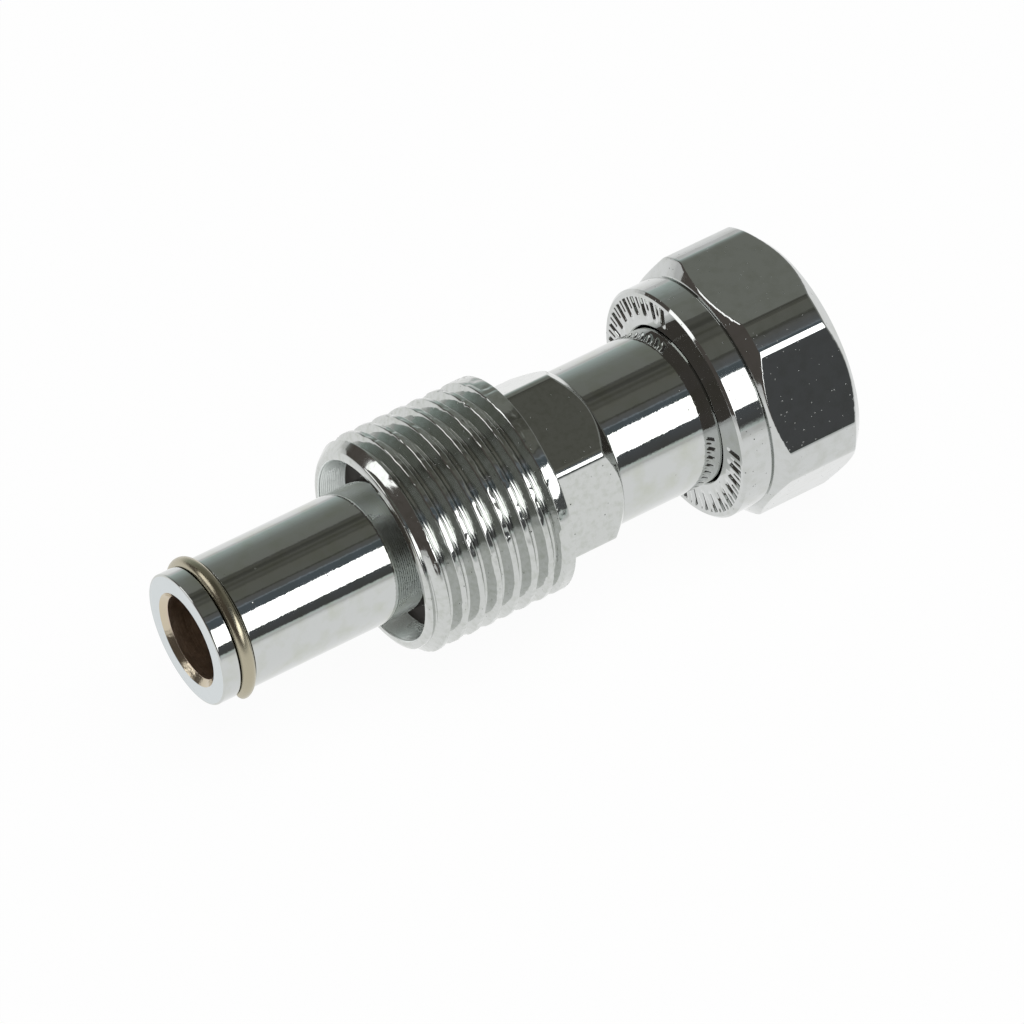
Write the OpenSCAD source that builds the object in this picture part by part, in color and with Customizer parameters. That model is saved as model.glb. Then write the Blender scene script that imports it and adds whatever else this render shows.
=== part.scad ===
// Telescopic extension for a radiator valve, in millimetres.
// The axis lies along +X, from the free end of the sliding tube towards the union nut.
// The origin is on the axis, halfway along the radiator thread. The nut lies on one of its flats.

/* [Sliding tube] */
// Outside diameter of the thin part that slides in the body
tube_d = 12.6; // [12.4:0.1:12.8]
// Outside diameter of the thick neck that carries the nut
neck_d = 15.2; // [14.6:0.1:15.4]
// Diameter of the water way through the tube
bore_d = 8; // [7:0.1:8.6]
// Width of the chamfer at the mouths of the water way
bore_chamfer = 0.55; // [0.2:0.05:0.8]
// How far the free end stands out of the body when pushed right in
tube_out = 19.2; // [12:0.1:22]
// Length of the neck between the body and the nut
neck_shown = 10.6; // [6:0.1:14]
// Diameter of the flange that holds the nut
flange_d = 17.8; // [17:0.1:18]
// Thickness of the flange
flange_t = 2.2; // [1.5:0.1:2.6]
// Bevel on the outer edges of the tube
tube_edge = 0.15; // [0.05:0.05:0.3]

/* [Stop ring] */
// Thickness of the ring's wire
ring_wire = 1.4; // [1.2:0.1:1.5]
// Distance from the tube's free end to the middle of the ring
ring_from_end = 2.5; // [2:0.1:4]
// How far the ring stands proud of the tube
ring_proud = 0.6; // [0.4:0.1:0.8]
// Opening of the split ring, in degrees
ring_split = 26; // [10:1:60]
// Where the split lies round the axis, in degrees from +Y towards +Z
ring_split_at = 230; // [0:1:359]

/* [Threaded body] */
// Outside diameter of the radiator thread, a half inch pipe thread
thread_d = 20.955; // [20.5:0.005:21.5]
// Pitch of the radiator thread
thread_pitch = 1.814; // [1.5:0.001:2]
// Depth of the radiator thread
thread_depth = 1.162; // [0.9:0.001:1.2]
// Length from the front face to the hexagon
thread_l = 14.9; // [12:0.1:18]
// Plain land between the thread and the hexagon
land_l = 0.9; // [0.4:0.1:2]
// Size of the body's hexagon across its flats
body_flats = 16; // [15.8:0.1:17]
// Length of the body's hexagon
body_hex_l = 6.9; // [5:0.1:9]
// Turn of the body's hexagon about the axis, in degrees
body_hex_turn = 17.2; // [0:0.1:59.9]
// Diameter of the recess in the front face
recess_d = 17.5; // [15:0.1:17.6]
// Depth of the recess in the front face
recess_depth = 2.8; // [2:0.1:4]

/* [Seals] */
// Section diameter of the two sealing rings inside the body
seal_section = 1.44; // [1.3:0.02:1.6]
// Distance from the recess floor to the middle of the first seal
seal_first = 3.2; // [2:0.1:5]
// Distance between the two seals
seal_spacing = 4; // [3:0.1:6]
// Thickness of the flat sealing washer
washer_t = 1.5; // [1:0.1:2]
// Hole of the flat sealing washer
washer_hole_d = 10; // [9:0.1:12]

/* [Union nut] */
// Size of the nut's hexagon across its flats
nut_flats = 23.4; // [23:0.1:24]
// Diameter to which the corners of the nut's hexagon are turned down
nut_corner_d = 25.4; // [24.6:0.1:26]
// Length of the whole nut
nut_l = 12.5; // [12:0.1:15]
// Diameter of the round collar at the nut's back
collar_d = 22.5; // [22.2:0.1:22.8]
// Length of the round collar
collar_l = 2.7; // [2.4:0.1:3.4]
// Width of the narrow groove between the collar and the hexagon
collar_groove = 0.3; // [0.2:0.1:0.6]
// Diameter at the foot of the bevel next to the collar
bevel_d = 22.7; // [22.4:0.1:22.9]
// Diameter of the open end, where the end bevel stops
nut_end_d = 22.4; // [22:0.1:22.6]
// Angle of the two bevels, from the nut's end faces
bevel_angle = 43; // [30:1:50]
// Thickness of the nut's end wall
nut_wall = 2.6; // [2:0.1:3]
// Outside diameter of the nut's inner thread, a half inch pipe thread
nut_thread_d = 20.955; // [20.5:0.005:21.1]
// Pitch of the nut's inner thread
nut_pitch = 1.814; // [1.5:0.001:1.9]
// Depth of the nut's inner thread
nut_depth = 1.162; // [0.9:0.001:1.2]
// Distance from the washer to the first thread ridge
thread_relief = 0.4; // [0.2:0.1:0.8]

/* [Fits] */
// Gap between the tube and the body's bore, on the radius
slide_gap = 0.06; // [0.02:0.01:0.1]
// Gap between the neck and the nut's bore, on the radius
nut_gap = 0.2; // [0.1:0.05:0.3]
// Gap left between faces that meet when pushed right in
face_gap = 0.05; // [0.02:0.01:0.1]
// Gap left round the squeezed sealing rings
seal_gap = 0.02; // [0.01:0.01:0.04]

/* [Hidden] */
$fn = 96;

// Stations along the axis
body_front = -thread_l / 2;
body_shoulder = thread_l / 2;
body_end = body_shoulder + body_hex_l;
recess_floor = body_front + recess_depth;
tube_front = body_front - tube_out;
ring_x = tube_front + ring_from_end;
neck_x = body_end + face_gap;
nut_x = body_end + neck_shown;
nut_end = nut_x + nut_l;
nut_shoulder = nut_x + nut_wall;
flange_x = nut_shoulder + face_gap;
flange_end = flange_x + flange_t;
washer_end = flange_end + washer_t;

// Radii that follow from the driving sizes
tube_r = tube_d / 2;
neck_r = neck_d / 2;
bore_r = bore_d / 2;
flange_r = flange_d / 2;
collar_r = collar_d / 2;
nut_corner_r = nut_corner_d / 2;
thread_r = thread_d / 2;
thread_root_r = thread_r - thread_depth;
body_bore_r = tube_r + slide_gap;
seal_mid_r = body_bore_r + seal_section / 2 - seal_gap;
seal_groove_r = seal_mid_r + seal_section / 2 + seal_gap;
seal_groove_w = 1.45 * seal_section;
seal_xs = [recess_floor + seal_first, recess_floor + seal_first + seal_spacing];
ring_mid_r = tube_r + ring_proud - ring_wire / 2;
ring_groove_r = ring_mid_r - ring_wire / 2 - face_gap;
ring_groove_w = ring_wire + 2 * face_gap;
nut_bore_r = neck_r + nut_gap;
nut_thread_r = nut_thread_d / 2;
nut_minor_r = nut_thread_r - nut_depth;

// Flank slope of the threads, as run along the axis for each step outwards
pipe_flank = tan(27.5);

// Small edges, and how far a cut runs past what it cuts
end_chamfer_angle = 30;
front_face_r = 9.75;
body_end_r = 7.95;
edge = 0.25;
bore_edge = 0.5;
fine_edge = 0.1;
cut = 1;

// Lays what was drawn about Z along the axis X
module along_x() rotate([0, 90, 0]) children();

// A turned solid whose outline is a list of [radius, station]
module turned(outline) along_x() rotate_extrude() polygon(outline);

// A hexagonal bar between two stations, with a corner at an angle from +Y towards +Z
module hex_bar(flats, turn, from_x, to_x)
    translate([from_x, 0, 0]) along_x() rotate([0, 0, turn + 90])
        cylinder(d = flats / cos(30), h = to_x - from_x, $fn = 6);

// Corner radius of a hexagon of a size across flats
function corner_r(flats) = flats / 2 / cos(30);

// Length along the axis of a bevel that climbs from one radius to another
function bevel_run(from_r, to_r, angle) = (to_r - from_r) * tan(angle);

// Outline of one thread ridge from root to crest, about a station
function ridge(x, root_r, crest_r, pitch, flank) =
    let (run = (crest_r - root_r) * flank, flat = (pitch - 2 * run) / 4)
    [[root_r, x - flat - run], [crest_r, x - flat], [crest_r, x + flat], [root_r, x + flat + run]];

// All ridges of a thread in one row of points
function ridges(xs, root_r, crest_r, pitch, flank) =
    [for (x = xs) each ridge(x, root_r, crest_r, pitch, flank)];

// Blank of the threaded part, with the lead-in chamfer at the front face
module thread_blank_outline()
    polygon([[0, body_front], [front_face_r, body_front],
             [thread_r, body_front + thread_r - front_face_r],
             [thread_r, body_shoulder], [0, body_shoulder]]);

// Thread ridges, cut back to the blank; the last one runs out into the plain land
module thread_outline() {
    land_x = body_shoulder - land_l;
    count = floor((land_x - body_front) / thread_pitch);
    xs = [for (i = [0:count]) body_front + i * thread_pitch];
    intersection() {
        polygon(concat([[0, body_front - thread_pitch]],
                       ridges(xs, thread_root_r, thread_r, thread_pitch, pipe_flank),
                       [[thread_r, land_x], [thread_r, body_shoulder + cut], [0, body_shoulder + cut]]));
        thread_blank_outline();
    }
}

// Everything bored out of the body: recess, slide bore, two seal grooves and the rear edge
module body_bore() {
    recess_r = recess_d / 2;
    turned([[0, body_front - cut], [recess_r + edge + cut, body_front - cut],
            [recess_r, body_front + edge], [recess_r, recess_floor],
            [body_bore_r + bore_edge, recess_floor], [body_bore_r, recess_floor + bore_edge],
            [body_bore_r, body_end - edge], [body_bore_r + edge + cut, body_end + cut],
            [0, body_end + cut]]);
    for (x = seal_xs)
        turned([[bore_r, x - seal_groove_w / 2], [seal_groove_r, x - seal_groove_w / 2],
                [seal_groove_r, x + seal_groove_w / 2], [bore_r, x + seal_groove_w / 2]]);
}

// Body with the radiator thread and a hexagon for the spanner, turned from one bar
module threaded_body() {
    blank_r = corner_r(body_flats) + edge;
    hex_x = body_shoulder - edge;
    chamfer = bevel_run(body_end_r, blank_r, end_chamfer_angle);
    color("silver") difference() {
        union() {
            along_x() rotate_extrude() thread_outline();
            intersection() {
                hex_bar(body_flats, body_hex_turn, hex_x, body_end);
                turned([[0, hex_x], [blank_r, hex_x], [blank_r, body_end - chamfer],
                        [body_end_r, body_end], [0, body_end]]);
            }
        }
        body_bore();
    }
}

// Round sealing ring in one of the body's grooves
module seal_ring(x)
    color("dimgray") translate([x, 0, 0]) along_x()
        rotate_extrude() translate([seal_mid_r, 0]) circle(d = seal_section, $fn = 32);

module front_seal_ring() seal_ring(seal_xs[0]);

module rear_seal_ring() seal_ring(seal_xs[1]);

// Split ring of round wire that stops the tube from being pulled right out
module stop_ring()
    color("darkkhaki") translate([ring_x, 0, 0]) along_x()
        rotate([0, 0, ring_split_at + 90 + ring_split / 2])
            rotate_extrude(angle = 360 - ring_split)
                translate([ring_mid_r, 0]) circle(d = ring_wire, $fn = 32);

// Stepped tube: thin sliding part with the ring groove, thick neck and the flange in the nut
module sliding_tube() {
    groove_a = ring_x - ring_groove_w / 2;
    groove_b = ring_x + ring_groove_w / 2;
    color("gainsboro") turned([
        [bore_r + bore_chamfer, tube_front], [tube_r - tube_edge, tube_front],
        [tube_r, tube_front + tube_edge], [tube_r, groove_a],
        [ring_groove_r, groove_a], [ring_groove_r, groove_b], [tube_r, groove_b],
        [tube_r, neck_x], [neck_r - tube_edge, neck_x], [neck_r, neck_x + tube_edge],
        [neck_r, flange_x], [flange_r - tube_edge, flange_x], [flange_r, flange_x + tube_edge],
        [flange_r, flange_end - tube_edge], [flange_r - tube_edge, flange_end],
        [bore_r + bore_chamfer, flange_end], [bore_r, flange_end - bore_chamfer],
        [bore_r, tube_front + bore_chamfer]]);
}

// Flat washer that seals the flange against the valve
module sealing_washer()
    color("dimgray") turned([[washer_hole_d / 2, flange_end], [flange_r, flange_end],
                             [flange_r, washer_end], [washer_hole_d / 2, washer_end]]);

// Hollow of the nut: neck bore, room for the flange and the washer, and the inner thread
module nut_hollow() {
    thread_x = washer_end + thread_relief;
    count = floor((nut_end - thread_x) / nut_pitch);
    xs = [for (i = [1:count]) thread_x + (i - 0.5) * nut_pitch];
    mouth_r = nut_thread_r + edge;
    turned(concat(
        [[0, nut_x - cut], [nut_bore_r + edge + cut, nut_x - cut], [nut_bore_r, nut_x + edge],
         [nut_bore_r, nut_shoulder], [nut_thread_r, nut_shoulder]],
        ridges(xs, nut_thread_r, nut_minor_r, nut_pitch, -pipe_flank),
        [[nut_thread_r, nut_end - edge], [mouth_r, nut_end], [mouth_r, nut_end + cut],
         [0, nut_end + cut]]));
}

// Outside of the nut: turned collar, narrow groove and the hexagon with a bevel at both ends
module nut_outside() {
    collar_end = nut_x + collar_l;
    hex_x = collar_end + collar_groove;
    bevel_r = bevel_d / 2;
    end_r = nut_end_d / 2;
    turned([[0, nut_x], [collar_r - edge, nut_x], [collar_r, nut_x + edge],
            [collar_r, collar_end - fine_edge], [collar_r - fine_edge, collar_end],
            [collar_r - edge, collar_end], [collar_r - edge, hex_x + edge], [0, hex_x + edge]]);
    intersection() {
        hex_bar(nut_flats, 0, hex_x, nut_end);
        turned([[0, hex_x], [bevel_r, hex_x],
                [nut_corner_r, hex_x + bevel_run(bevel_r, nut_corner_r, bevel_angle)],
                [nut_corner_r, nut_end - bevel_run(end_r, nut_corner_r, bevel_angle)],
                [end_r, nut_end], [0, nut_end]]);
    }
}

// Loose union nut, turned from hexagon bar
module union_nut() color("lightgray") difference() {
    nut_outside();
    nut_hollow();
}

threaded_body();
front_seal_ring();
rear_seal_ring();
stop_ring();
sliding_tube();
sealing_washer();
union_nut();
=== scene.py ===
"""Looks of a telescopic radiator valve extension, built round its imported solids.

Lengths are in millimetres until a mesh, a lamp or the camera is made, and then in metres.
The axis is X, and angles round it run from +Y towards +Z, in degrees.
"""

import math

import bmesh
import bpy
import numpy as np
from mathutils import Matrix, Vector


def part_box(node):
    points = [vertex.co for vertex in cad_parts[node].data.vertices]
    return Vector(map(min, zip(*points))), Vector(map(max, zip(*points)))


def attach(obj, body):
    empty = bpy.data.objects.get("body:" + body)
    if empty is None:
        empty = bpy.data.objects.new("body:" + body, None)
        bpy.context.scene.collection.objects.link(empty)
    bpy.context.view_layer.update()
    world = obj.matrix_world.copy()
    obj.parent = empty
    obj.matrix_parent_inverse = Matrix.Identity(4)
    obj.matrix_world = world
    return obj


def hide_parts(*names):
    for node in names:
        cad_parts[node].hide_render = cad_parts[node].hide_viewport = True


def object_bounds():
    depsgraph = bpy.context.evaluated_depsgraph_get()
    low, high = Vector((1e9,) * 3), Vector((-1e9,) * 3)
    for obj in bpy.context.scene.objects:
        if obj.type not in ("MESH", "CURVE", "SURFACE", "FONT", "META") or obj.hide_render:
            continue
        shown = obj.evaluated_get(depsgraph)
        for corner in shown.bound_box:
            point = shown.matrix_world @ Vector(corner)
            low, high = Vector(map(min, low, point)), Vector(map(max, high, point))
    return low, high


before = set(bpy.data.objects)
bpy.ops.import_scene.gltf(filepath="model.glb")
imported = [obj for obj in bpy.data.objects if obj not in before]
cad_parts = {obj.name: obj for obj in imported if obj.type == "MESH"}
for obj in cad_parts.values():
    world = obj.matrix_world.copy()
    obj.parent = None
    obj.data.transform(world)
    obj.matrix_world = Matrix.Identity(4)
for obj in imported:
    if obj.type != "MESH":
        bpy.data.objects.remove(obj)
cad_low, cad_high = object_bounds()

MM = 0.001


# Sizes that the frame gives


def span(node):
    """First and last station and the outer radius of a node."""
    low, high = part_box(node)
    return low.x / MM, high.x / MM, high.y / MM


body_front, body_end, thread_r = span("threaded_body")
tube_front, flange_end, flange_r = span("sliding_tube")
ring_from, ring_to, ring_r = span("stop_ring")
washer_from, washer_to, washer_r = span("sealing_washer")
nut_x, nut_end, nut_corner_r = span("union_nut")


# Sizes that the boxes don't give

# Body: bore, seal grooves and recess
SLIDE_R = 6.36
SEAL_GROOVE_R = 7.8
SEAL_GROOVE_W = 2.088
RECESS_R = 8.75
RECESS_DEPTH = 2.8
RECESS_EDGE = 0.1
FLOOR_EDGE = 0.2

# Body: the marks that the tool left in the recess, and the rings of one mark in shares of its step
TOOL_STEP = 0.2
TOOL_MARK = 0.09
TOOL_RAMP = (0, 0.1, 0.7, 0.8)

# Body: radiator thread, whose crest passes the station CREST_X at the angle CREST_AT
PITCH = 1.814
THREAD_DEPTH = 1.06
THREAD_CREST_HALF = 0.22
FLANK_SLOPE = math.tan(math.radians(27.5))
CREST_X = -4.9
CREST_AT = 39.5

# Body: front face, lead-in, first turn, and the plain land that the thread runs out into. The rings
# that hold the face's edge are (distance behind it, how much lower than the outline)
FRONT_FACE_R = 9.25
FACE_BEVEL_SLOPE = 1.9
LEAD_IN_R = 9.45
LEAD_IN_SLOPE = 0.78
FIRST_ROOT_RISE = 0.35
FIRST_ROOT_RUN = 0.9
FACE_RINGS = ((0.02, 0.02), (0.05, 0), (0.09, 0))
THREAD_RINGS_FROM = 0.13
LAND = 1.15
RUN_OUT = 0.4

# Body: nicks in the thread's crests, from noise in cells of (degrees, mm, share)
NICK_CELLS = ((2.25, 0.3, 0.6), (6, 0.7, 0.4))
NICK_SEED = 11
NICK_LEVEL = 0.48
NICK_DEPTH = 0.28
NICK_REACH = 0.35

# Body: spanner hexagon
BODY_SHOULDER = 7.45
BODY_FLAT_R = 8.0
BODY_CORNER_AT = 17.2
BODY_CORNER_ROUND = 1.1
BODY_END_R = 7.85
BODY_CHAMFER_SLOPE = 0.85

# Tube
TUBE_R = 6.3
NECK_X = 14.4
NECK_R = 7.6
FLANGE_T = 2.2
BORE_R = 4.0
BORE_CHAMFER = 0.55
BORE_RUN = 10
TUBE_EDGE = 0.16
NECK_FILLET = 0.08
FLANGE_EDGE = 0.15

# Stop ring, with blunt ends at its split, and its groove in the tube
RING_GROOVE_R = 5.45
RING_GROOVE_EDGE = 0.06
RING_PLAY = 0.09
RING_SPLIT_AT = 230
RING_SPLIT = 26
RING_END_ROUND = 0.25
RING_SIDES = 24
RING_STEPS = 220

# Seals
SEAL_SIDES = 24
WASHER_HOLE_R = 5.0
WASHER_EDGE = 0.15

# Nut: collar and bore
COLLAR_R = 11.25
COLLAR_L = 3.0
COLLAR_GROOVE = 0.12
NUT_BORE_R = 7.74
NUT_BORE_EDGE = 0.12
NUT_WALL = 2.6

# Nut: hexagon with turned corners, and its two bevels
NUT_FLAT_R = 11.7
NUT_CREASE_ROUND = 1.8
BEVEL_R = 11.35
FRONT_BEVEL_SLOPE = math.tan(math.radians(37))
NUT_END_R = 11.2
REAR_BEVEL_SLOPE = math.tan(math.radians(43))

# Nut: inner thread
THREAD_RELIEF = 0.4
INNER_THREAD_DEPTH = 1.162
INNER_CREST_HALF = 0.15
INNER_MOUTH_SLOPE = 1.2
INNER_START = 0.8

# Nut: plain index ticks on the round face. A tick's shape is (half its width in degrees, foot radius)
TICKS = 72
BOLD_TICK = (1.5, 8.8)
FINE_TICK = (0.5, 9.5)
TICK_TOP_R = 10.6
TICK_DEPTH = 0.18
TICK_SIDE = 0.25
TICK_END = 0.04
SCALES_AT = (35, 215)
SCALE_REACH = 46

# Small edges and roundings, and the distance of a ring that holds a rounding in its place
EDGE = 0.25
FINE = 0.1
CRISP = 0.05
HOLD = 0.03
WELD = 0.0005

# How far two surfaces are rounded over where they meet
SOFT_THREAD = 0.1
SOFT_EDGE = 0.06
SOFT_FACE = 0.03
SOFT_CHAMFER = 0.08
SOFT_BEVEL = 0.12
SOFT_INNER_THREAD = 0.3

# Points round each piece, and how finely they follow a hexagon's creases, in degrees
TURNED_SIDES = 180
TUBE_SIDES = 240
BODY_SIDES = 200
BODY_CREASE_REACH = 3.0
BODY_CREASE_STEP = 0.75
NUT_SIDES = 72
NUT_CREASE_LEAD = 2.4
NUT_CREASE_REACH = 2.8
NUT_CREASE_STEP = 0.7
NUT_LEAST_STEP = 0.12

# Rings along the curved stretches
LAND_RINGS = 5
CHAMFER_RINGS = 24
FRONT_BEVEL_RINGS = 26
FLAT_RINGS = 6
REAR_BEVEL_RINGS = 28
INNER_THREAD_RINGS = 60


# Outlines and meshes


def soft_min(a, b, k):
    """The lower of two heights, rounded over where they are nearly equal."""
    near = np.maximum(k - np.abs(a - b), 0) / k
    return np.minimum(a, b) - near * near * k / 4


def soft_max(a, b, k):
    """The higher of two heights, rounded over where they are nearly equal."""
    return -soft_min(-a, -b, k)


def angles(count, creases=(), reach=0.0, step=0.2):
    """Angles round the axis: an even ring, with finer steps near each crease."""
    fine = [c + d for c in creases for d in np.arange(-reach, reach + step / 2, step)]
    every = np.sort(np.mod(np.concatenate([np.arange(count) * 360 / count, fine]), 360))
    gaps = np.diff(every, prepend=every[-1] - 360)
    return every[gaps > step / 3]


def rounded(corners, steps=4):
    """Points of an open outline. Each corner is (station, radius, rounding)."""
    longest = 0.45
    places = [np.array(c[:2], float) for c in corners]
    points = []
    for i, (place, corner) in enumerate(zip(places, corners)):
        if i in (0, len(places) - 1) or corner[2] == 0:
            points.append(place)
            continue
        back = places[i - 1] - place
        on = places[i + 1] - place
        back_l, on_l = np.linalg.norm(back), np.linalg.norm(on)
        back, on = back / back_l, on / on_l
        half = math.acos(np.clip(back @ on, -1, 1)) / 2
        run = min(corner[2] / math.tan(half), longest * back_l, longest * on_l)
        centre = place + (back + on) / np.linalg.norm(back + on) * run / math.cos(half)
        start, end = place + back * run - centre, place + on * run - centre
        turn = math.pi - 2 * half
        if run + HOLD < 0.5 * back_l:
            points.append(place + back * (run + HOLD))
        for t in np.linspace(0, 1, steps + 1):
            way = (start * math.sin((1 - t) * turn) + end * math.sin(t * turn)) / math.sin(turn)
            points.append(centre + way)
        if run + HOLD < 0.5 * on_l:
            points.append(place + on * (run + HOLD))
    return [(p[0], p[1]) for p in points]


def skin(name, points, faces, materials, slots=None, weld=False):
    """A smooth-shaded mesh object. Welding joins the points that lie on each other."""
    mesh = bpy.data.meshes.new(name)
    mesh.from_pydata(points.tolist(), [], faces)
    for material in materials:
        mesh.materials.append(material)
    if slots is not None:
        mesh.polygons.foreach_set("material_index", slots.astype(np.int32))
    if weld:
        work = bmesh.new()
        work.from_mesh(mesh)
        bmesh.ops.remove_doubles(work, verts=work.verts, dist=WELD * MM)
        work.to_mesh(mesh)
        work.free()
    mesh.shade_smooth()
    mesh.update()
    piece = bpy.data.objects.new(name, mesh)
    bpy.context.scene.collection.objects.link(piece)
    return piece


def loft(name, rings, phi, materials):
    """A closed skin round the axis, through rings of (stations, radii, material of the next strip).

    Where the angles end a whole turn after they began, the rings may follow a helix, and are welded.
    """
    n = len(phi)
    turn = np.radians(phi)
    whole_turn = phi[-1] - phi[0] == 360
    x = np.array([np.broadcast_to(ring[0], n) for ring in rings], float)
    r = np.array([np.broadcast_to(ring[1], n) for ring in rings], float)
    points = np.stack([x, r * np.cos(turn), r * np.sin(turn)], -1).reshape(-1, 3) * MM
    i, k = np.meshgrid(np.arange(len(rings)), np.arange(n - whole_turn), indexing="ij")
    j, m = (i + 1) % len(rings), (k + 1) % n
    quads = np.stack([i * n + k, i * n + m, j * n + m, j * n + k], -1).reshape(-1, 4)
    strip = np.array([np.broadcast_to(ring[2], n)[:n - whole_turn] for ring in rings]).ravel()
    return skin(name, points, quads.tolist(), materials, strip, weld=whole_turn)


def in_slot(slot, outline):
    """Rings of one material from an outline of (stations, radii)."""
    return [(x, r, slot) for x, r in outline]


def turned(name, outline, materials, slot_of=None, count=TURNED_SIDES):
    """A turned piece from a closed outline of (station, radius)."""
    rings = [(x, r, slot_of(x, r) if slot_of else 0) for x, r in outline]
    return loft(name, rings, angles(count), materials)


def lattice_noise(u, v, seed, wrap):
    """Smooth noise from 0 to 1 over cells of size one, that repeats in u after wrap cells."""
    rows = 512
    draw = np.random.default_rng(seed).random((wrap, rows))
    iu, iv = np.floor(u).astype(int), np.floor(v).astype(int)
    fu, fv = u - iu, v - iv
    fu, fv = fu * fu * (3 - 2 * fu), fv * fv * (3 - 2 * fv)

    def at(a, b):
        return draw[np.mod(a, wrap), np.mod(b, rows)]

    low = at(iu, iv) * (1 - fu) + at(iu + 1, iv) * fu
    high = at(iu, iv + 1) * (1 - fu) + at(iu + 1, iv + 1) * fu
    return low * (1 - fv) + high * fv


# Radii as functions of the angle and the station


def thread_radius(phi, x, crest_x, crest_half, crest_r, root_r, soft):
    """Radius of a right-handed pipe thread, for an outer or an inner ridge."""
    depth = crest_r - root_r
    away = np.mod(x - crest_x - PITCH * (phi - CREST_AT) / 360 + PITCH / 2, PITCH) - PITCH / 2
    run = abs(depth) * FLANK_SLOPE
    climb = 1 - (np.abs(away) - crest_half) / run
    share = soft_max(soft_min(climb, 1.0, soft), 0.0, soft)
    return root_r + depth * np.clip(share, 0, 1)


def thread_stations(phi, first_x, last_x):
    """Stations of the thread's rings, which follow its helix and stop at its two ends."""
    foot = THREAD_CREST_HALF + THREAD_DEPTH * FLANK_SLOPE
    beside_corner = [-0.06, -0.02, 0.02, 0.06, 0.1]
    on_crest = 0.12
    side = [on_crest]
    side += [THREAD_CREST_HALF + d for d in beside_corner]
    side += [foot - d for d in beside_corner]
    offsets = sorted([-d for d in side] + [0] + side + [PITCH / 2])
    shift = PITCH * (phi - CREST_AT) / 360
    low = math.floor((first_x - shift.max() - CREST_X) / PITCH) - 1
    high = math.ceil((last_x - shift.min() - CREST_X) / PITCH) + 1
    return [np.clip(CREST_X + PITCH * i + off + shift, first_x, last_x)
            for i in range(low, high) for off in offsets]


def hexagon_radius(phi, corner_at, flat_r, rounding, land_r=None):
    """Radius of a hexagonal bar whose corners are rounded, or turned down to land_r first."""
    off = np.abs(np.radians(np.mod(phi - corner_at, 60) - 30))
    flat = flat_r / np.cos(off)
    if land_r is None:
        at = math.pi / 6
        centre = (flat_r - rounding) / math.cos(at)
    else:
        centre = land_r - rounding
        at = math.acos((flat_r - rounding) / centre)
    start = math.atan(centre * math.sin(at) / flat_r)
    side = np.clip(rounding**2 - (centre * np.sin(off - at)) ** 2, 0, None)
    arc = centre * np.cos(off - at) + np.sqrt(side)
    radius = np.where(off > start, arc, flat)
    return radius if land_r is None else np.where(off > at, land_r, radius)


# Materials


def node_adder(tree):
    """A function that adds a node to the tree. Its inputs are values or other nodes' sockets."""

    def add(kind, inputs=None, **values):
        node = tree.nodes.new(kind)
        for key, value in values.items():
            setattr(node, key, value)
        for key, value in (inputs or {}).items():
            if isinstance(value, bpy.types.NodeSocket):
                tree.links.new(value, node.inputs[key])
            else:
                node.inputs[key].default_value = value
        return node

    return add


def result(add, operation, *values):
    """The result of a math node."""
    return add("ShaderNodeMath", dict(enumerate(values)), operation=operation).outputs[0]


def blend(add, share, first, second):
    """A mix of two colours."""
    return add("ShaderNodeMix", {"Factor": share, 6: first, 7: second}, data_type="RGBA").outputs[2]


def noise(add, place, scale, detail):
    """Noise of about scale patches a unit of the place."""
    return add("ShaderNodeTexNoise", {"Vector": place, "Scale": scale, "Detail": detail}).outputs["Fac"]


def stretch(add, value, old_range, new_range, **values):
    """The value moved from one range to another, and held at its ends."""
    inputs = {"Value": value, "From Min": old_range[0], "From Max": old_range[1],
              "To Min": new_range[0], "To Max": new_range[1]}
    return add("ShaderNodeMapRange", inputs, **values).outputs[0]


def relief(add, height, distance, under=None, invert=False):
    """A normal bumped by a height of the given distance in mm, over the normal under it."""
    inputs = {"Height": height, "Distance": distance * MM}
    if under:
        inputs["Normal"] = under
    return add("ShaderNodeBump", inputs, invert=invert).outputs[0]


def graph(name):
    """A new material with its node tree, its surface shader and a function that adds nodes."""
    material = bpy.data.materials.new(name)
    material.use_nodes = True
    tree = material.node_tree
    return material, tree, tree.nodes["Principled BSDF"], node_adder(tree)


# Clouds in the gloss a mm, and noise levels between which they and the stains set in
CLOUD_SCALE = 0.45
CLOUD_LEVELS = (0.3, 0.7)
STAIN_LEVELS = (0.45, 0.7)

# Radii of a pit and of its flat middle in shares of its cell, and how dark and dull it is
PIT_RADII = (0.05, 0.14)
PIT_MIDDLE = 0.02
PIT_SHADE = 0.45
PIT_DULL = 0.35


def pit_height(add, in_mm, scale, share):
    """Scattered round pits of several sizes."""
    cell = add("ShaderNodeTexVoronoi", {"Vector": in_mm, "Scale": scale, "Randomness": 1.0})
    draw = add("ShaderNodeSeparateColor", {"Color": cell.outputs["Color"]}).outputs
    size = stretch(add, draw[1], (0, 1), PIT_RADII)
    hole = stretch(add, cell.outputs["Distance"], (size, PIT_MIDDLE), (0, 1))
    return result(add, "MULTIPLY", hole, result(add, "LESS_THAN", draw[0], share))


def lathe_height(add, in_mm, side, spacing):
    """Fine turning lines, along a wall or outwards on a face."""
    apart = add("ShaderNodeSeparateXYZ", {"Vector": in_mm}).outputs
    along = apart[0]
    if side == "face":
        flat = add("ShaderNodeCombineXYZ", {"Y": apart[1], "Z": apart[2]}).outputs[0]
        along = add("ShaderNodeVectorMath", {0: flat}, operation="LENGTH").outputs["Value"]
    line = add("ShaderNodeCombineXYZ", {"X": along}).outputs[0]
    return noise(add, line, 1 / spacing, 2.0)


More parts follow.
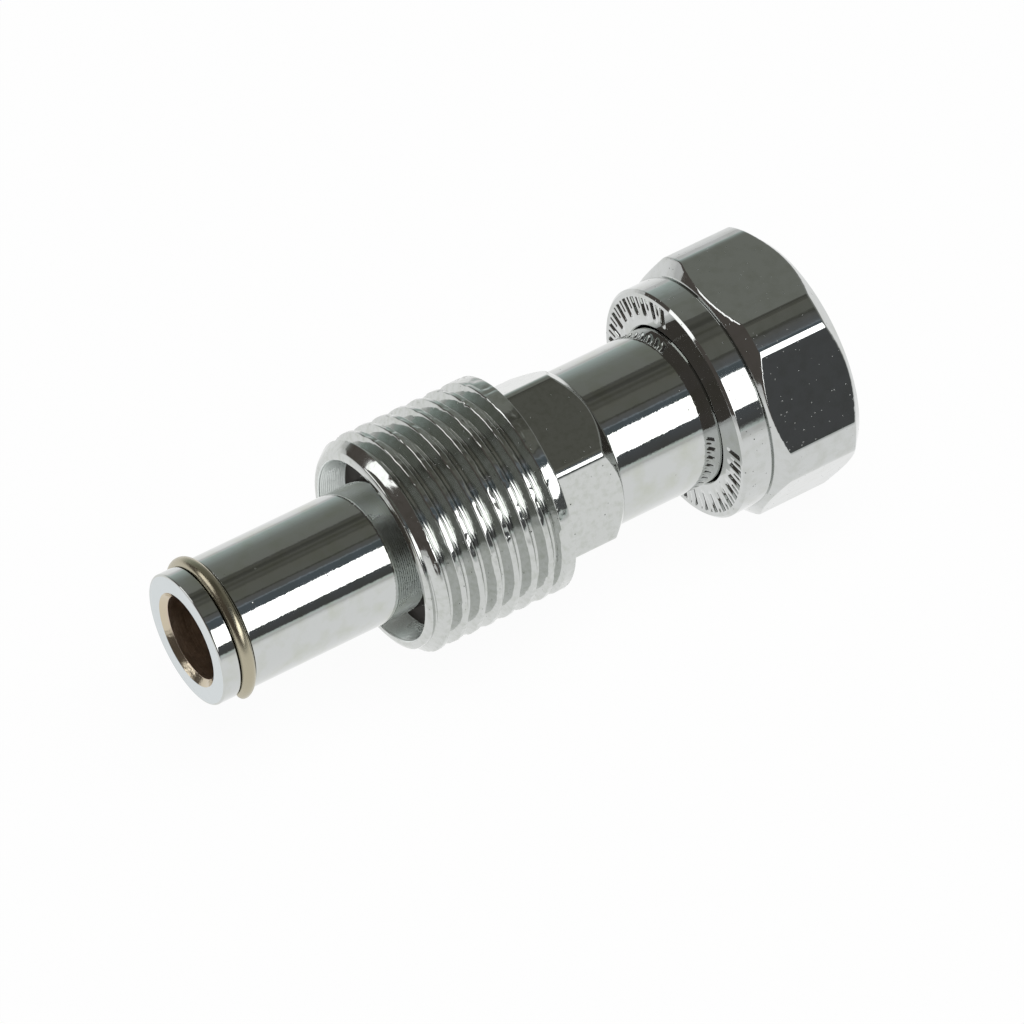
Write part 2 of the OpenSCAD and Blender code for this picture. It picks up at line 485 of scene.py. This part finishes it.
def metal(name, colour, roughness, spread=0.03, wave=(0.6, 0.02), pits=None, tarnish=None, lathe=None,
          shine=1.0):
    """Polished or plated metal, with its roughness spread upwards in clouds.

    wave is (cell, height) in mm, and pits are (cells a mm, share of cells, depth in mm). tarnish is
    (colour, patches a mm, strength), and lathe is (wall or face, spacing, height) in mm.
    shine is the share of metal.
    """
    material, tree, shader, add = graph(name)
    tint = (*colour, 1)
    shader.inputs["Base Color"].default_value = tint
    shader.inputs["Metallic"].default_value = shine
    place = add("ShaderNodeTexCoord").outputs["Object"]
    in_mm = add("ShaderNodeVectorMath", {0: place, 1: (1 / MM,) * 3}, operation="MULTIPLY").outputs[0]
    normal = relief(add, noise(add, in_mm, 1 / wave[0], 2.0), wave[1])
    cloud = noise(add, in_mm, CLOUD_SCALE, 3.0)
    rough = stretch(add, cloud, CLOUD_LEVELS, (roughness, roughness + spread))
    if pits:
        cells, share, depth = pits
        pit = pit_height(add, in_mm, cells, share)
        normal = relief(add, pit, depth, normal, invert=True)
        rough = result(add, "MINIMUM", result(add, "MAXIMUM", rough, pit), roughness + PIT_DULL)
        tint = blend(add, pit, tint, (*[c * PIT_SHADE for c in colour], 1))
    if tarnish:
        stain, patches, strength = tarnish
        amount = stretch(add, noise(add, in_mm, patches, 4.0), STAIN_LEVELS, (0, strength))
        tint = blend(add, amount, tint, (*stain, 1))
    if lathe:
        side, spacing, height = lathe
        normal = relief(add, lathe_height(add, in_mm, side, spacing), height, normal)
    tree.links.new(normal, shader.inputs["Normal"])
    tree.links.new(rough, shader.inputs["Roughness"])
    if pits or tarnish:
        tree.links.new(tint, shader.inputs["Base Color"])
    return material


def soft_material(name, colour, roughness, grain):
    """Rubber or fibre with a fine grain of the given size in mm, half as bright again at its peaks."""
    material, tree, shader, add = graph(name)
    shader.inputs["Roughness"].default_value = roughness
    place = add("ShaderNodeTexCoord").outputs["Object"]
    speck = noise(add, place, 1 / (grain * MM), 5.0)
    tint = blend(add, speck, (*colour, 1), (*[c * 1.5 for c in colour], 1))
    tree.links.new(tint, shader.inputs["Base Color"])
    tree.links.new(relief(add, speck, 0.03), shader.inputs["Normal"])
    return material


CHROME = (0.565, 0.58, 0.572)
chrome = metal("tube_chrome", CHROME, 0.03, 0.03, wave=(0.35, 0.003), pits=(1.1, 0.12, 0.02),
               tarnish=((0.50, 0.52, 0.46), 0.5, 0.7))
chrome_face = metal("tube_face_chrome", (0.60, 0.64, 0.65), 0.16, 0.06, lathe=("face", 0.12, 0.004))
nut_chrome = metal("nut_chrome", CHROME, 0.04, 0.03, wave=(0.5, 0.0025), pits=(1.8, 0.9, 0.15),
                   tarnish=((0.50, 0.515, 0.49), 0.9, 0.8))
nickel = metal("body_nickel", (0.575, 0.59, 0.575), 0.06, 0.07, wave=(0.35, 0.003),
               pits=(1.6, 0.6, 0.1), tarnish=((0.49, 0.51, 0.475), 1.8, 0.8))
# A lighter copy of the body's nickel for the recess wall: painted light that brightens the recess
recess_nickel_painted_light = metal("recess_nickel_painted_light", (0.78, 0.82, 0.80), 0.26, 0.1, lathe=("wall", 0.1, 0.01),
                      shine=0.9)
# The recess floor's nickel turned near black: painted shade deep in the recess
recess_floor = metal("recess_floor", (0.06, 0.055, 0.05), 0.5, 0.1, lathe=("face", 0.15, 0.01),
                     shine=0.6)
brass = metal("bare_brass", (0.58, 0.51, 0.39), 0.12, 0.08, wave=(0.5, 0.02),
              lathe=("wall", 0.1, 0.004))
bore_brass = metal("bore_brass", (0.62, 0.52, 0.43), 0.3, 0.12, wave=(0.8, 0.06),
                   lathe=("wall", 0.2, 0.02))
bronze = metal("ring_bronze", (0.43, 0.395, 0.295), 0.2, 0.1, wave=(0.5, 0.004))
# Near-black metal that paints shade into the floors of the nut's engraved ticks
tick_floor_shade_metal = metal("tick_floor_shade_metal", (0.10, 0.10, 0.10), 0.4, 0.1)
rubber = soft_material("seal_rubber", (0.02, 0.02, 0.022), 0.55, 0.4)
fibre = soft_material("washer_fibre", (0.05, 0.05, 0.055), 0.7, 0.6)


# Body with the radiator thread

# Slots of the body's skin. The recess wall's nickel is painted lighter as light, and the floor's is
# painted near black as shade
PLATE, RECESS_WALL, RECESS_FLOOR = 0, 1, 2


def body_radius(phi, x):
    """Radius of the threaded part: thread, lead-in chamfer, run-out and plain land."""
    near_face = np.clip(1 - (x - body_front) / FIRST_ROOT_RUN, 0, 1)
    root_r = thread_r - THREAD_DEPTH + FIRST_ROOT_RISE * near_face
    land_x = BODY_SHOULDER - LAND
    radius = thread_radius(phi, x, CREST_X, THREAD_CREST_HALF, thread_r, root_r, SOFT_THREAD)
    run_out = root_r + THREAD_DEPTH * np.clip((x - land_x) / RUN_OUT + 1, 0, 1)
    radius = soft_max(radius, run_out, SOFT_EDGE)
    lead_in = LEAD_IN_R + (x - body_front) * LEAD_IN_SLOPE
    face_bevel = FRONT_FACE_R + (x - body_front) * FACE_BEVEL_SLOPE
    radius = soft_min(soft_min(radius, lead_in, SOFT_EDGE), face_bevel, SOFT_FACE)
    return np.minimum(radius, thread_r)


def worn(phi, x, radius):
    """Small nicks in the thread's crests."""
    nicks = sum(lattice_noise(phi / degrees, x / length, NICK_SEED + i, round(360 / degrees)) * share
                for i, (degrees, length, share) in enumerate(NICK_CELLS))
    crest = np.clip((radius - thread_r + NICK_REACH) / NICK_REACH, 0, 1)
    return radius - crest * np.clip(nicks - NICK_LEVEL, 0, 1) * NICK_DEPTH


def body_inside():
    """Rings from the body's end, through the bore and the seal grooves, to the recess's mouth."""
    floor_x = body_front + RECESS_DEPTH
    half = SEAL_GROOVE_W / 2
    corners = [(body_end, BODY_END_R - 0.4, 0), (body_end, SLIDE_R + EDGE, CRISP),
               (body_end - EDGE, SLIDE_R, CRISP)]
    for node in ("rear_seal_ring", "front_seal_ring"):
        seal_from, seal_to, _ = span(node)
        middle = (seal_from + seal_to) / 2
        corners += [(middle + half, SLIDE_R, 0), (middle + half, SEAL_GROOVE_R, FINE),
                    (middle - half, SEAL_GROOVE_R, FINE), (middle - half, SLIDE_R, 0)]
    corners += [(floor_x + FLOOR_EDGE, SLIDE_R, CRISP), (floor_x, SLIDE_R + FLOOR_EDGE, CRISP),
                (floor_x, RECESS_R - TOOL_MARK, 0)]
    for x in np.arange(floor_x - 0.05, body_front + RECESS_EDGE + TOOL_STEP, -TOOL_STEP):
        corners += [(x - TOOL_STEP * t, RECESS_R - TOOL_MARK * (1 - t / TOOL_RAMP[-1]), 0)
                    for t in TOOL_RAMP]
    corners += [(body_front + RECESS_EDGE, RECESS_R, 0.04), (body_front, RECESS_R + RECESS_EDGE, 0.04),
                (body_front, RECESS_R + 0.3, 0)]

    def slot(x, r):
        if x > floor_x + 0.01 or x < body_front + 0.001:
            return PLATE
        # The wall takes the lighter nickel, painted light; the floor takes the near-black nickel, painted
        # shade
        return RECESS_FLOOR if r < RECESS_R - TOOL_MARK - 0.01 else RECESS_WALL

    return [(x, r, slot(x, r)) for x, r in rounded(corners)]


def thread_outline(phi):
    """Stations and radii from the front face, over the thread and the land, to the shoulder."""
    land_x = BODY_SHOULDER - LAND
    face_r = body_radius(phi, body_front)
    outline = [(body_front, face_r - 0.15), (body_front, face_r - 0.1)]
    for behind, lower in FACE_RINGS:
        outline.append((body_front + behind, body_radius(phi, body_front + behind) - lower))
    stations = thread_stations(phi, body_front + THREAD_RINGS_FROM, land_x + 0.06)
    stations += list(np.linspace(land_x + 0.15, BODY_SHOULDER - 0.12, LAND_RINGS))
    outline += [(x, worn(phi, x, body_radius(phi, x))) for x in stations]
    return outline + [(BODY_SHOULDER - 0.04, thread_r - 0.03), (BODY_SHOULDER, thread_r - 0.12),
                      (BODY_SHOULDER, thread_r - 0.2)]


def body_hexagon_outline(phi):
    """Stations and radii over the spanner hexagon, with the chamfer at its end."""
    bar = hexagon_radius(phi, BODY_CORNER_AT, BODY_FLAT_R, BODY_CORNER_ROUND)
    chamfer_x = body_end - (float(bar.max()) - BODY_END_R) / BODY_CHAMFER_SLOPE - 0.1
    middle_x = (BODY_SHOULDER + chamfer_x) / 2
    outline = [(BODY_SHOULDER, bar + 0.2), (BODY_SHOULDER + 0.03, bar + 0.06)]
    outline += [(x, bar) for x in (BODY_SHOULDER + 0.12, BODY_SHOULDER + 0.2, middle_x, chamfer_x - HOLD)]
    for x in np.linspace(chamfer_x, body_end - 0.04, CHAMFER_RINGS):
        chamfer = BODY_END_R + (body_end - x) * BODY_CHAMFER_SLOPE
        outline.append((x, soft_min(bar, chamfer, SOFT_CHAMFER)))
    end_r = np.minimum(bar, BODY_END_R)
    return outline + [(body_end, end_r - 0.05), (body_end, end_r - 0.1)]


def make_body():
    """Threaded body: one skin from the slide bore, over the thread and the hexagon, and back."""
    corners = [BODY_CORNER_AT + 60 * i for i in range(6)]
    phi = np.append(angles(BODY_SIDES, corners, BODY_CREASE_REACH, BODY_CREASE_STEP), 360)
    rings = body_inside() + in_slot(PLATE, thread_outline(phi) + body_hexagon_outline(phi))
    piece = loft("threaded_body_skin", rings, phi, [nickel, recess_nickel_painted_light, recess_floor])
    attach(piece, "radiator_body")
    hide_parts("threaded_body")


# Sliding tube and what sits on it


def make_tube():
    """Stepped tube with the ring groove, the neck and the flange, and the bare bore."""
    flange_x = flange_end - FLANGE_T
    mouth_r = BORE_R + BORE_CHAMFER
    groove_from, groove_to = ring_from - RING_PLAY, ring_to + RING_PLAY
    outline = rounded([
        (tube_front + BORE_RUN, BORE_R, 0), (tube_front + BORE_CHAMFER, BORE_R, CRISP),
        (tube_front, mouth_r, 0.03), (tube_front, TUBE_R, TUBE_EDGE),
        (groove_from, TUBE_R, RING_GROOVE_EDGE), (groove_from, RING_GROOVE_R, FINE),
        (groove_to, RING_GROOVE_R, FINE), (groove_to, TUBE_R, RING_GROOVE_EDGE),
        (NECK_X, TUBE_R, NECK_FILLET), (NECK_X, NECK_R, TUBE_EDGE),
        (flange_x, NECK_R, FINE), (flange_x, flange_r, FLANGE_EDGE),
        (flange_end, flange_r, FLANGE_EDGE), (flange_end, mouth_r, CRISP),
        (flange_end - BORE_CHAMFER, BORE_R, CRISP), (flange_end - BORE_RUN, BORE_R, 0)], steps=5)
    skin_slot, chamfer_slot, bore_slot, face_slot = range(4)

    def slot(x, r):
        if r < BORE_R + 0.02:
            return bore_slot
        if r < mouth_r - 0.02:
            return chamfer_slot
        return face_slot if r < TUBE_R - 0.2 and x < tube_front + 0.02 else skin_slot

    materials = [chrome, brass, bore_brass, chrome_face]
    piece = turned("sliding_tube_skin", outline, materials, slot, TUBE_SIDES)
    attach(piece, "tube")
    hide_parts("sliding_tube")


def make_ring():
    """Split stop ring of round wire, with blunt ends."""
    wire_r = (ring_to - ring_from) / 2
    middle_x = (ring_from + ring_to) / 2
    middle_r = ring_r - wire_r
    around = np.radians(np.arange(RING_SIDES) * 360 / RING_SIDES)
    edge = np.degrees(RING_END_ROUND / middle_r)
    steps = np.linspace(0, 360 - RING_SPLIT, RING_STEPS)
    steps = np.concatenate([[0, edge * 0.3], steps[1:-1], [steps[-1] - edge * 0.3, steps[-1]]])
    from_end = np.minimum(steps, steps[-1] - steps)
    shrink = np.sqrt(1 - (1 - np.clip(from_end / edge, 0, 1)) ** 2) * RING_END_ROUND
    radius = (wire_r - RING_END_ROUND + shrink)[:, None]
    turn = np.radians(RING_SPLIT_AT + RING_SPLIT / 2 + steps)[:, None]
    r = middle_r + radius * np.cos(around)
    x = middle_x + radius * np.sin(around)
    points = np.stack([x, r * np.cos(turn), r * np.sin(turn)], -1).reshape(-1, 3) * MM
    last = len(steps) - 1
    i, k = np.meshgrid(np.arange(last), np.arange(RING_SIDES), indexing="ij")
    m = (k + 1) % RING_SIDES
    quads = np.stack([i * RING_SIDES + k, i * RING_SIDES + m,
                      (i + 1) * RING_SIDES + m, (i + 1) * RING_SIDES + k], -1)
    first_cap = list(range(RING_SIDES - 1, -1, -1))
    last_cap = [last * RING_SIDES + k for k in range(RING_SIDES)]
    faces = quads.reshape(-1, 4).tolist() + [first_cap, last_cap]
    piece = skin("stop_ring_wire", points, faces, [bronze])
    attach(piece, "stop")
    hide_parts("stop_ring")


def make_seals():
    """Round rubber rings in the body."""
    around = np.radians(np.arange(SEAL_SIDES) * 360 / SEAL_SIDES)
    for node in ("front_seal_ring", "rear_seal_ring"):
        low, high, outer = span(node)
        half, middle = (high - low) / 2, (low + high) / 2
        outline = [(middle - half * math.cos(a), outer - half + half * math.sin(a)) for a in around]
        piece = turned(node + "_rubber", outline, [rubber])
        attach(piece, "radiator_body")
        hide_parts(node)


def make_washer():
    """Flat washer in the nut, against the tube's flange."""
    seam_r = (WASHER_HOLE_R + washer_r) / 2
    outline = rounded([(washer_from, seam_r, 0), (washer_from, washer_r, WASHER_EDGE),
                       (washer_to, washer_r, WASHER_EDGE), (washer_to, WASHER_HOLE_R, WASHER_EDGE),
                       (washer_from, WASHER_HOLE_R, WASHER_EDGE), (washer_from, seam_r - 0.5, 0)])
    piece = turned("sealing_washer_fibre", outline, [fibre])
    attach(piece, "tube")
    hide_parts("sealing_washer")


# Union nut

# Slots of the nut's skin: its chrome, and the near-black painted shade in the tick floors
CHROMED, SHADED_TICK = 0, 1


def tick_shape(phi):
    """Share of a tick's full depth at each angle, and the tick's foot radius. Bold and fine in turn."""
    number = np.round(phi * TICKS / 360)
    off = np.abs(phi - number * 360 / TICKS)
    bold = np.mod(number, 2) == 0
    half = np.where(bold, BOLD_TICK[0], FINE_TICK[0])
    foot = np.where(bold, BOLD_TICK[1], FINE_TICK[1])
    away = np.min([np.abs(np.mod(phi - at + 180, 360) - 180) for at in SCALES_AT], axis=0)
    across = np.clip((half + TICK_SIDE - off) / TICK_SIDE, 0, 1) * (away < SCALE_REACH)
    return across, foot


def tick_depth(phi, r):
    """Depth of the engraved index marks on the nut's round face."""
    across, foot = tick_shape(phi)
    along = np.clip(np.minimum(r - foot, TICK_TOP_R - r) / TICK_END + 0.5, 0, 1)
    return TICK_DEPTH * across * along


def nut_angles():
    """Angles of the nut's points: an even ring, the creases of the hexagon and the ticks' sides."""
    crease = math.acos((NUT_FLAT_R - NUT_CREASE_ROUND) / (nut_corner_r - NUT_CREASE_ROUND))
    crease = math.degrees(crease)
    creases = [30 + 60 * i + side * (crease - NUT_CREASE_LEAD) for i in range(6) for side in (-1, 1)]
    marks = [360 / TICKS * i + side * ((BOLD_TICK, FINE_TICK)[i % 2][0] + extra)
             for i in range(TICKS) for side in (-1, 1) for extra in (0, TICK_SIDE)]
    phi = np.concatenate([angles(NUT_SIDES, creases, NUT_CREASE_REACH, NUT_CREASE_STEP), marks])
    phi = np.unique(np.round(np.mod(phi, 360), 3))
    return phi[np.diff(phi, prepend=phi[-1] - 360) > NUT_LEAST_STEP]


def tick_rings(phi):
    """Rings of the nut's round face, sunk at the ticks, whose floors get a near-black metal as painted
    shade.
    """
    following = np.append(phi[1:], phi[0] + 360)
    across, foot = tick_shape(np.mod((phi + following) / 2, 360))
    rings = []
    for edge_r in (BOLD_TICK[1], FINE_TICK[1], TICK_TOP_R):
        for r in (edge_r - HOLD, edge_r + HOLD):
            # The floors of whole ticks take the painted shade
            in_painted_shade = (across > 0.9) & (r > foot) & (r < TICK_TOP_R - HOLD)
            rings.append((nut_x + tick_depth(phi, r), r, np.where(in_painted_shade, SHADED_TICK, CHROMED)))
    return rings


def nut_hexagon_outline(phi, hex_x):
    """Stations and radii over the hexagon, from its front bevel to its rear one."""
    bar = hexagon_radius(phi, 0, NUT_FLAT_R, NUT_CREASE_ROUND, nut_corner_r)
    front_run = (nut_corner_r - BEVEL_R) * FRONT_BEVEL_SLOPE
    rear_run = (nut_corner_r - NUT_END_R) * REAR_BEVEL_SLOPE
    stations = list(np.linspace(hex_x + 0.03, hex_x + front_run + 0.15, FRONT_BEVEL_RINGS))
    stations += list(np.linspace(hex_x + front_run + 0.4, nut_end - rear_run - 0.4, FLAT_RINGS))
    stations += list(np.linspace(nut_end - rear_run - 0.15, nut_end - 0.03, REAR_BEVEL_RINGS))
    outline = [(hex_x, BEVEL_R - 0.06)]
    for x in stations:
        front = BEVEL_R + (x - hex_x) / FRONT_BEVEL_SLOPE
        rear = NUT_END_R + (nut_end - x) / REAR_BEVEL_SLOPE
        outline.append((x, soft_min(soft_min(bar, front, SOFT_BEVEL), rear, SOFT_BEVEL)))
    return outline + [(nut_end, NUT_END_R - 0.05), (nut_end, NUT_END_R - 0.12)]


def inner_thread_outline(phi, thread_x):
    """Stations and radii from the nut's open end in, over its thread."""
    root_r = thread_r
    crest_r = root_r - INNER_THREAD_DEPTH
    outline = [(nut_end, root_r + EDGE + 0.05)]
    for x in np.linspace(nut_end - 0.02, thread_x + 0.05, INNER_THREAD_RINGS):
        radius = thread_radius(phi, x, thread_x, INNER_CREST_HALF, crest_r, root_r, SOFT_INNER_THREAD)
        mouth = root_r + EDGE - (nut_end - x) * INNER_MOUTH_SLOPE
        start = root_r - INNER_THREAD_DEPTH * np.clip((x - thread_x) / INNER_START, 0, 1)
        outline.append((x, np.maximum(soft_max(radius, mouth, SOFT_EDGE), start)))
    return outline


def make_nut():
    """Union nut: turned collar, hexagon with turned corners and bevels, and the inner thread."""
    phi = nut_angles()
    collar_end = nut_x + COLLAR_L
    hex_x = collar_end + COLLAR_GROOVE
    step_r = COLLAR_R - EDGE
    thread_x = washer_to + THREAD_RELIEF
    shoulder = nut_x + NUT_WALL
    bore = rounded([(thread_x, thread_r, 0), (shoulder, thread_r, 0.2), (shoulder, NUT_BORE_R, FINE),
                    (nut_x + NUT_BORE_EDGE, NUT_BORE_R, 0.04), (nut_x, NUT_BORE_R + NUT_BORE_EDGE, 0.04),
                    (nut_x, NUT_BORE_R + 0.6, 0)])
    collar = rounded([(nut_x, TICK_TOP_R + 0.1, 0), (nut_x, step_r, 0.06),
                      (nut_x + EDGE, COLLAR_R, 0.08), (collar_end, COLLAR_R, 0.12),
                      (collar_end, step_r, CRISP), (hex_x, step_r, 0)])
    rest = collar + nut_hexagon_outline(phi, hex_x) + inner_thread_outline(phi, thread_x)
    rings = in_slot(CHROMED, bore) + tick_rings(phi) + in_slot(CHROMED, rest)
    piece = loft("union_nut_skin", rings, phi, [nut_chrome, tick_floor_shade_metal])
    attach(piece, "nut")
    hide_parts("union_nut")


make_body()
make_tube()
make_ring()
make_seals()
make_washer()
make_nut()


# Camera

CAMERA_TARGET = (1.75, -9.0, 7.29)
CAMERA_DISTANCE = 700.94
CAMERA_AZIMUTH = -32.18
CAMERA_ELEVATION = 45.86
CAMERA_ROLL = -1.54
CAMERA_LENS = 281.25
CAMERA_SENSOR = 36
CAMERA_NEAR = 10
CAMERA_FAR = 20000


def make_camera():
    """The camera at the photograph's viewing angle."""
    azimuth, elevation = math.radians(CAMERA_AZIMUTH), math.radians(CAMERA_ELEVATION)
    level = Vector((math.cos(azimuth), math.sin(azimuth), 0))
    back = Vector((math.sin(azimuth) * math.cos(elevation), -math.cos(azimuth) * math.cos(elevation),
                   math.sin(elevation)))
    right = Matrix.Rotation(math.radians(CAMERA_ROLL), 3, back) @ level
    up = back.cross(right)
    data = bpy.data.cameras.new("camera")
    data.lens = CAMERA_LENS
    data.sensor_width = CAMERA_SENSOR
    data.clip_start = CAMERA_NEAR * MM
    data.clip_end = CAMERA_FAR * MM
    camera = bpy.data.objects.new("camera", data)
    place = (Vector(CAMERA_TARGET) + back * CAMERA_DISTANCE) * MM
    camera.matrix_world = Matrix.Translation(place) @ Matrix((right, up, back)).transposed().to_4x4()
    bpy.context.scene.collection.objects.link(camera)
    bpy.context.scene.camera = camera


# Floor. For the camera it glows white, but for a small share that shows the shadow. Metal sees it
# bright up to one distance from the part, and dimmer beyond another

FLOOR_REACH = 4000
FLOOR_TONE = 0.9
FLOOR_ROUGHNESS = 0.9
FLOOR_GLOW = 0.96
FLOOR_BRIGHT_TO = 90
FLOOR_DIM_FROM = 260
FLOOR_DIM = 0.68


def floor_material():
    """Paint that keeps the shadow and that the camera, gloss and glass see as white."""
    material, tree, shader, add = graph("floor_white")
    shader.inputs["Base Color"].default_value = (FLOOR_TONE, FLOOR_TONE, FLOOR_TONE, 1)
    shader.inputs["Roughness"].default_value = FLOOR_ROUGHNESS
    shader.inputs["Specular IOR Level"].default_value = 0.0
    ray = add("ShaderNodeLightPath").outputs
    place = add("ShaderNodeTexCoord").outputs["Object"]
    away = add("ShaderNodeVectorMath", {0: place}, operation="LENGTH").outputs["Value"]
    fade = stretch(add, away, (FLOOR_BRIGHT_TO * MM, FLOOR_DIM_FROM * MM), (1, FLOOR_DIM))
    strength = result(add, "MAXIMUM", fade, ray["Is Camera Ray"])
    light = add("ShaderNodeEmission", {"Strength": strength}).outputs[0]
    by_camera = result(add, "MULTIPLY", ray["Is Camera Ray"], FLOOR_GLOW)
    share = result(add, "MAXIMUM", by_camera, ray["Is Glossy Ray"])
    share = result(add, "MAXIMUM", share, ray["Is Transmission Ray"])
    mix = add("ShaderNodeMixShader", {0: share, 1: shader.outputs[0], 2: light}).outputs[0]
    tree.links.new(mix, tree.nodes["Material Output"].inputs["Surface"])
    return material


def sheet(name, corners, material):
    """A flat piece of the studio between four corners, which are in metres."""
    mesh = bpy.data.meshes.new(name)
    mesh.from_pydata(corners, [], [(0, 1, 2, 3)])
    mesh.materials.append(material)
    piece = bpy.data.objects.new(name, mesh)
    bpy.context.scene.collection.objects.link(piece)
    return piece


def make_floor():
    """A plain pale floor under the part."""
    reach = FLOOR_REACH * MM
    corners = [(x * reach, y * reach, cad_low.z) for x, y in ((-1, -1), (1, -1), (1, 1), (-1, 1))]
    sheet("floor", corners, floor_material())


# Room, as the metal shows it

# Brightness by the angle round the axis, from the far horizon over the top to the near one
ROOM = [(-4, (0.92, 0.95, 0.94)), (0, (0.62, 0.69, 0.67)), (4, (0.48, 0.55, 0.53)),
        (12, (0.39, 0.44, 0.42)), (20, (0.31, 0.34, 0.32)), (28, (0.245, 0.26, 0.24)),
        (40, (0.215, 0.225, 0.20)), (61, (0.205, 0.21, 0.19)), (63, (0.10, 0.10, 0.09)),
        (67, (0.105, 0.105, 0.09)), (70, (0.07, 0.07, 0.06)), (74, (0.085, 0.085, 0.075)),
        (76, (0.12, 0.12, 0.105)), (80, (0.085, 0.085, 0.07)), (84, (0.12, 0.12, 0.105)),
        (88, (0.10, 0.10, 0.085)), (91, (0.145, 0.145, 0.125)), (107, (0.145, 0.148, 0.13)),
        (109, (0.07, 0.07, 0.06)), (111, (0.13, 0.13, 0.125)), (117, (0.13, 0.135, 0.14)),
        (118.5, (0.24, 0.27, 0.30)), (120, (0.10, 0.12, 0.135)), (150, (0.09, 0.105, 0.12)),
        (165, (0.09, 0.095, 0.1)), (176, (0.08, 0.08, 0.08)), (178, (0.6, 0.66, 0.64)),
        (184, (0.8, 0.84, 0.83))]
# Towards the tube's free end and behind the nut: where each side sets in and is full, and its colour
ROOM_SIDES = ((-0.1, -0.35, (0.1, 0.088, 0.08)), (0.5, 0.72, (0.26, 0.265, 0.25)))


def make_world():
    """The room: white to the camera, and for the metal a dark ceiling over pale horizons."""
    world = bpy.data.worlds.new("room")
    bpy.context.scene.world = world
    world.use_nodes = True
    world.node_tree.nodes.clear()
    add = node_adder(world.node_tree)

    direction = add("ShaderNodeTexCoord").outputs["Generated"]
    apart = add("ShaderNodeSeparateXYZ", {0: direction}).outputs
    start = math.radians(ROOM[0][0])
    reach = math.radians(ROOM[-1][0]) - start
    turn = result(add, "ARCTAN2", apart[2], apart[1])
    wrapped = result(add, "WRAP", turn, 1.5 * math.pi, -0.5 * math.pi)
    share = result(add, "DIVIDE", result(add, "SUBTRACT", wrapped, start), reach)
    ramp = add("ShaderNodeValToRGB", {0: share})
    stops = ramp.color_ramp.elements
    for _ in range(len(ROOM) - len(stops)):
        stops.new(0.5)
    for stop, (angle, colour) in zip(stops, ROOM):
        stop.position = (math.radians(angle) - start) / reach
        stop.color = (*colour, 1)
    shown = ramp.outputs[0]
    for sets_in, full, colour in ROOM_SIDES:
        fade = stretch(add, apart[0], (sets_in, full), (0, 1), interpolation_type="SMOOTHSTEP")
        shown = blend(add, fade, shown, (*colour, 1))

    room = add("ShaderNodeBackground", {"Color": shown}).outputs[0]
    white = add("ShaderNodeBackground", {"Color": (1, 1, 1, 1)}).outputs[0]
    by_camera = add("ShaderNodeLightPath").outputs["Is Camera Ray"]
    mix = add("ShaderNodeMixShader", {0: by_camera, 1: room, 2: white}).outputs[0]
    add("ShaderNodeOutputWorld", {"Surface": mix})


# Lamps

STRIP_CENTRE = (83, -398, 231)
STRIP_ALONG = (0.851, 0.507, 0.137)
STRIP_LENGTH = 430
STRIP_WIDTH = 206
STRIP_STRENGTH = 3.0
BOX_CENTRE = (-297, 220, 255)
BOX_ALONG = (-0.338, -0.879, 0.341)
BOX_LENGTH = 237
BOX_WIDTH = 250
BOX_STRENGTH = 1.8
OVERHEAD_PLACE = (100, -200, 1200)
OVERHEAD_SIZE = 1200
OVERHEAD_POWER = 14


def softbox(name, centre, along, length, width, strength):
    """A lit white card that faces the part, seen only in reflections."""
    material, tree, shader, add = graph(name + "_white")
    tree.nodes.remove(shader)
    light = add("ShaderNodeEmission", {"Strength": strength}).outputs[0]
    tree.links.new(light, tree.nodes["Material Output"].inputs["Surface"])

    centre = Vector(centre)
    along = Vector(along).normalized()
    back = (centre - along * centre.dot(along)).normalized()
    across = along.cross(back)
    corners = [(centre + along * (s * length / 2) + across * (t * width / 2)) * MM
               for s, t in ((-1, -1), (1, -1), (1, 1), (-1, 1))]
    piece = sheet(name, corners, material)
    piece.visible_camera = False
    piece.visible_diffuse = False
    piece.visible_shadow = False


def make_lamps():
    """A long softbox in front, one behind the tube, and an overhead lamp that the metal doesn't show."""
    softbox("strip", STRIP_CENTRE, STRIP_ALONG, STRIP_LENGTH, STRIP_WIDTH, STRIP_STRENGTH)
    softbox("box", BOX_CENTRE, BOX_ALONG, BOX_LENGTH, BOX_WIDTH, BOX_STRENGTH)
    data = bpy.data.lights.new("overhead", "AREA")
    data.shape = "SQUARE"
    data.size = OVERHEAD_SIZE * MM
    data.energy = OVERHEAD_POWER
    lamp = bpy.data.objects.new("overhead", data)
    lamp.location = Vector(OVERHEAD_PLACE) * MM
    lamp.rotation_euler = (-lamp.location).to_track_quat("-Z", "Y").to_euler()
    lamp.visible_glossy = False
    bpy.context.scene.collection.objects.link(lamp)


make_camera()
make_floor()
make_world()
make_lamps()
bpy.context.scene.view_settings.view_transform = "Standard"
